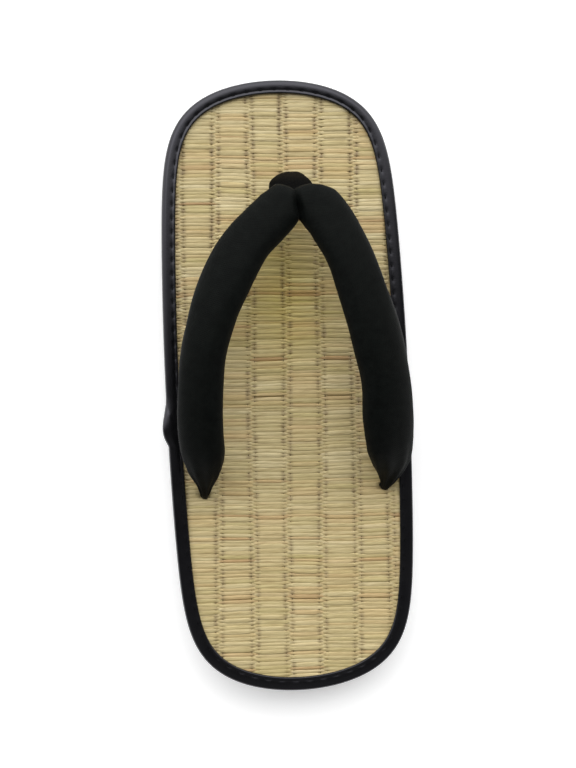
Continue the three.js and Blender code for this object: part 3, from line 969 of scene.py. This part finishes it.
weave_height = add_node(
    weave_group, "Math", {0: weave_slubs, 1: SLUB_HEIGHT, 2: weave_cross}, operation="MULTIPLY_ADD"
).outputs[0]
weave_group.links.new(weave_height, weave_out.inputs["Height"])
weave_group.links.new(weave_slubs, weave_out.inputs["Slubs"])


def cotton_finish(name, dark, light, gloss):
    """Matte black cotton, a little lighter where the threads are slack."""
    material, tree, shader = new_finish(
        name, Roughness=0.6, Specular_IOR_Level=gloss, Sheen_Weight=0.01, Sheen_Roughness=0.5
    )
    weave = placed_group(tree, weave_group, Threads_per_metre=COTTON_THREADS, Slubs_per_metre=260)
    shade = ramp(tree, weave.outputs["Slubs"], [(0.32, dark), (0.72, light)])
    bump = add_node(
        tree, "Bump", {"Height": weave.outputs["Height"], "Strength": 0.45, "Distance": 0.12 * MM}
    )
    tree.links.new(shade, shader.inputs["Base Color"])
    tree.links.new(bump.outputs["Normal"], shader.inputs["Normal"])
    return material


cotton = cotton_finish("black cotton", COTTON_BLACK, COTTON_GREY, gloss=0.058)


def arm_piece(name, side):
    """One stuffed arm with its underside seam, the gathers of its tail and its small lumps."""
    grid, turn, middles = arm_tube(side)
    around = grid - middles[:, None]
    away = unit(around)
    y = middles[:, 1][:, None]
    above = side * np.sin(turn)[None]
    below = np.exp(-(((1 + above) / SEAM_NARROWNESS) ** 2))
    seam = SEAM_TROUGH * below * smooth_step(SEAM_END, SEAM_FULL, y)
    gathered = smooth_step(PLEATS_FROM, PLEATS_FULL, y) * smooth_step(PLEATS_END, PLEATS_FADE, y)
    pleats = TAIL_PLEAT_DEPTH * gathered * np.cos(TAIL_PLEATS * turn + side)[None]
    lumps = np.sin(y / LUMP_SHORT + 2 * turn[None] + side) * np.cos(y / LUMP_LONG - turn[None])
    grid = grid + away * (pleats + STUFFING_LUMPS * lumps - seam)[..., None]
    girth = np.linalg.norm(np.diff(grid, axis=1, append=grid[:, :1]), axis=2).mean(axis=1)
    shape = Shape()
    shape.add(
        grid,
        closed_columns=True,
        capped=True,
        along=walked_along(middles)[:, None],
        around=np.arange(ARM_POINTS)[None] * girth.max(),
    )
    return shape.piece(name, cotton)


def mesh_points(mesh):
    """A mesh's points, one to a row."""
    points = np.empty(len(mesh.vertices) * 3)
    mesh.vertices.foreach_get("co", points)
    return points.reshape(-1, 3)


def stuffed(piece):
    """Presses the cloth out from within by a cloth simulation, no point going further than its cap."""
    before = mesh_points(piece.data)
    held = piece.vertex_groups.new(name="held")
    ends = (before[:, 1] > HELD_FRONT) | (before[:, 1] < HELD_TAIL)
    held.add(np.flatnonzero(ends).tolist(), 1.0, "REPLACE")
    cloth = piece.modifiers.new("wadding", "CLOTH")
    cloth.settings.vertex_group_mass = "held"
    cloth.settings.use_pressure = True
    cloth.settings.uniform_pressure_force = WADDING_PRESSURE
    cloth.settings.effector_weights.gravity = 0
    cloth.point_cache.frame_end = WADDING_FRAMES
    for frame_number in range(1, WADDING_FRAMES + 1):
        bpy.context.scene.frame_set(frame_number)
    view = bpy.context.evaluated_depsgraph_get()
    moved = mesh_points(piece.evaluated_get(view).data) - before
    far = np.linalg.norm(moved, axis=1, keepdims=True)
    capped = moved * free_share(before[:, 1:2]) * np.minimum(1, WADDING_CAP / np.maximum(far, TINY))
    piece.modifiers.remove(cloth)
    piece.vertex_groups.remove(held)
    piece.data.vertices.foreach_set("co", (before + capped).ravel())
    bpy.context.scene.frame_set(1)


strap = arm_piece("cotton_strap", 1)
left_arm = arm_piece("left_arm", -1)
stuffed(strap)
stuffed(left_arm)


def carved(piece, other, how):
    """Joins another piece to this one, or cuts it away, and leaves one mesh."""
    modifier = piece.modifiers.new("carve", "BOOLEAN")
    modifier.object = other
    modifier.operation = how
    modifier.solver = "MANIFOLD"
    view = bpy.context.evaluated_depsgraph_get()
    mesh = bpy.data.meshes.new_from_object(piece.evaluated_get(view), depsgraph=view)
    piece.modifiers.remove(modifier)
    piece.data = mesh
    mesh.name = piece.name
    mesh.shade_smooth()


def creased(piece):
    """Presses the crease between the two arms into the top of the fork, shallow where the post wraps it."""
    points = mesh_points(piece.data)
    normals = np.empty(points.size)
    piece.data.vertex_normals.foreach_get("vector", normals)
    x, y = points[:, :2].T
    from_crease = np.abs(x - np.interp(y, CREASE_Y, CREASE_X))
    pressed = smooth_step(CREASE_HALF_WIDTH, 0, from_crease) * smooth_step(CREASE_FROM, CREASE_FULL, y)
    deep = smooth_step(CREASE_SHALLOW, CREASE_FULL, y)
    pressed *= CREASE_SHALLOW_SHARE + (1 - CREASE_SHALLOW_SHARE) * deep
    points[:, 2] -= CREASE_DEPTH * pressed * smooth_step(*CREASED_SLOPES, normals[2::3])
    piece.data.vertices.foreach_set("co", points.ravel())


carved(strap, left_arm, "UNION")
bpy.data.objects.remove(left_arm)
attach(strap, "root")
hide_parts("strap")


# Toe post
# A narrow band of the same cotton, folded lengthwise and wrapped over the strap's fork. It stands between
# the first two toes and runs down into the front hole, which holds its end.

PostRow = namedtuple("PostRow", "y lean lift wide deep")
POST_ROWS = [
    PostRow(79.0, 3.8, 21.5, 19.0, 6.4),
    PostRow(83.6, 3.7, 16.8, 18.6, 6.2),
    PostRow(86.8, 4.4, 10.6, 14.4, 5.8),
    PostRow(88.9, 5.4, 4.6, 9.8, 5.4),
    PostRow(89.6, 6.0, 0.0, 7.8, 5.0),
    PostRow(89.7, 6.0, -6.5, 7.2, 4.8),
]
POST_STEPS_PER_ROW = 8
POST_SQUARENESS = 3.4
POST_POINTS = 48
POST_FOLD_DEPTH = 0.9 * MM
POST_FOLD_NARROWNESS = 0.16
POST_POINT_STEP = 0.9 * MM
# The post's cotton is darker than the strap's: painted shade that dims its front, which faces the bright
# toe's side
POST_PAINTED_SHADE_BLACK = colour(2, 2, 2)
POST_PAINTED_SHADE_GREY = colour(5, 5, 5)

post = PostRow(*np.array(POST_ROWS).T)
post_height = mat_height(post.y * MM) / MM + post.lift
post_middles = smooth_run(np.column_stack([post.lean, post.y, post_height]), POST_STEPS_PER_ROW) * MM
post_sizes = np.column_stack([post.wide, post.deep])
post_wide, post_deep = smooth_run(post_sizes, POST_STEPS_PER_ROW).T * MM
post_facing = unit(np.gradient(post_middles, axis=0))
post_broad = np.tile([1.0, 0, 0], (len(post_middles), 1))
post_grid, post_turn = oval_tube(
    post_middles, post_facing, post_broad, post_wide, post_deep, POST_SQUARENESS, POST_POINTS
)
post_away = unit(post_grid - post_middles[:, None])
post_fold = np.exp(-((np.cos(post_turn) / POST_FOLD_NARROWNESS) ** 2)) * np.maximum(0, np.sin(post_turn))
post_grid = post_grid - POST_FOLD_DEPTH * post_away * post_fold[None, :, None]
post_shape = Shape()
post_shape.add(
    post_grid,
    closed_columns=True,
    capped=True,
    along=walked_along(post_middles)[:, None],
    around=np.arange(POST_POINTS)[None] * POST_POINT_STEP,
)
# The same cotton as the strap, with painted shade in its darker colours
post_cotton_painted_shade = cotton_finish("post cotton with painted shade", POST_PAINTED_SHADE_BLACK, POST_PAINTED_SHADE_GREY, gloss=0.02)
toe_post = post_shape.piece("cotton_toe_post", post_cotton_painted_shade)

# The post is cut to the strap's full arms, and only then is the fork's crease pressed in
carved(toe_post, strap, "DIFFERENCE")
creased(strap)
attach(toe_post, "root")
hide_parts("toe_post")


# Stage
# A plain white floor that glows a little, under a sky that is bright on the toe's side and dark behind
# the heel, with a lamp high over the toe's side. The camera looks down from above the sandal's left
# side, rolled so that the toe leans to the left.

FLOOR_SIZE = 80
FLOOR_WHITE = [0.95, 0.95, 0.95, 1]
floor_finish = new_finish(
    "white floor",
    Base_Color=FLOOR_WHITE,
    Roughness=0.9,
    Specular_IOR_Level=0.1,
    Emission_Color=WHITE,
    Emission_Strength=0.35,
)[0]
floor_mesh = bpy.data.meshes.new("floor")
floor_corners = [(-1, -1), (1, -1), (1, 1), (-1, 1)]
floor_mesh.from_pydata(
    [(x * FLOOR_SIZE / 2, y * FLOOR_SIZE / 2, 0) for x, y in floor_corners], [], [(0, 1, 2, 3)]
)
floor_mesh.materials.append(floor_finish)
floor = bpy.data.objects.new("floor", floor_mesh)
bpy.context.scene.collection.objects.link(floor)

LIGHT_WAY = Vector((-0.08, 0.55, 0.83)).normalized()
LAMP_DISTANCE = 2.6
LAMP_SIZE = 2.0
LAMP_POWER = 14
SKY_STRENGTH = 2.1
BRIGHT_WAY = (-0.1, 1, 0)
DUSK = [0.1, 0.1, 0.1, 1]
NIGHT = [0.02, 0.02, 0.02, 1]
HAZE = [0.36, 0.36, 0.36, 1]
BLACK = [0, 0, 0, 1]
world = bpy.data.worlds.new("sky")
world.use_nodes = True
sky_tree = world.node_tree
sky_way = add_node(sky_tree, "TexCoord").outputs["Generated"]
sky_sides = add_node(sky_tree, "SeparateXYZ", {"Vector": sky_way})
sky_dot = add_node(sky_tree, "VectorMath", {0: sky_way, 1: BRIGHT_WAY}, operation="DOT_PRODUCT")
sky_turn = add_node(sky_tree, "MapRange", {"Value": sky_dot.outputs["Value"], "From Min": -1})
sky_stops = [(0.4, DUSK), (0.5, NIGHT), (0.53, NIGHT), (0.645, WHITE)]
sky_ahead = ramp(sky_tree, sky_turn.outputs["Result"], sky_stops)
sky_low = ramp(sky_tree, sky_sides.outputs["Z"], [(0.08, HAZE), (0.35, BLACK)])
sky_shade = mixed_colour(sky_tree, 1.0, sky_ahead, sky_low, how="LIGHTEN")
sky_tree.links.new(sky_shade, sky_tree.nodes["Background"].inputs["Color"])
sky_tree.nodes["Background"].inputs["Strength"].default_value = SKY_STRENGTH
bpy.context.scene.world = world
lamp_data = bpy.data.lights.new("lamp", "AREA")
lamp_data.size = LAMP_SIZE
lamp_data.energy = LAMP_POWER
lamp = bpy.data.objects.new("lamp", lamp_data)
lamp.location = LIGHT_WAY * LAMP_DISTANCE
lamp.rotation_euler = LIGHT_WAY.to_track_quat("Z", "Y").to_euler()
bpy.context.scene.collection.objects.link(lamp)
bpy.context.scene.view_settings.view_transform = "Standard"

CAMERA_LEFT = 58 * MM
CAMERA_BACK = 2.5 * MM
CAMERA_ABOVE_MAT = 650 * MM
CAMERA_ROLL = math.radians(2.7)
SHARE_OF_FRAME = 0.7955
camera_data = bpy.data.cameras.new("camera")
camera = bpy.data.objects.new("camera", camera_data)
bpy.context.scene.collection.objects.link(camera)
aim = Vector((0, 0, mat_height(0.0)))
place = aim + Vector((-CAMERA_LEFT, -CAMERA_BACK, CAMERA_ABOVE_MAT))
back = (place - aim).normalized()
upright = Vector((math.sin(CAMERA_ROLL), math.cos(CAMERA_ROLL), 0))
right = upright.cross(back).normalized()
facing = Matrix((right, back.cross(right), back)).transposed().to_4x4()
camera.matrix_world = Matrix.Translation(place) @ facing
camera_data.lens = SHARE_OF_FRAME * camera_data.sensor_width * (place - aim).length / LENGTH
bpy.context.scene.camera = camera
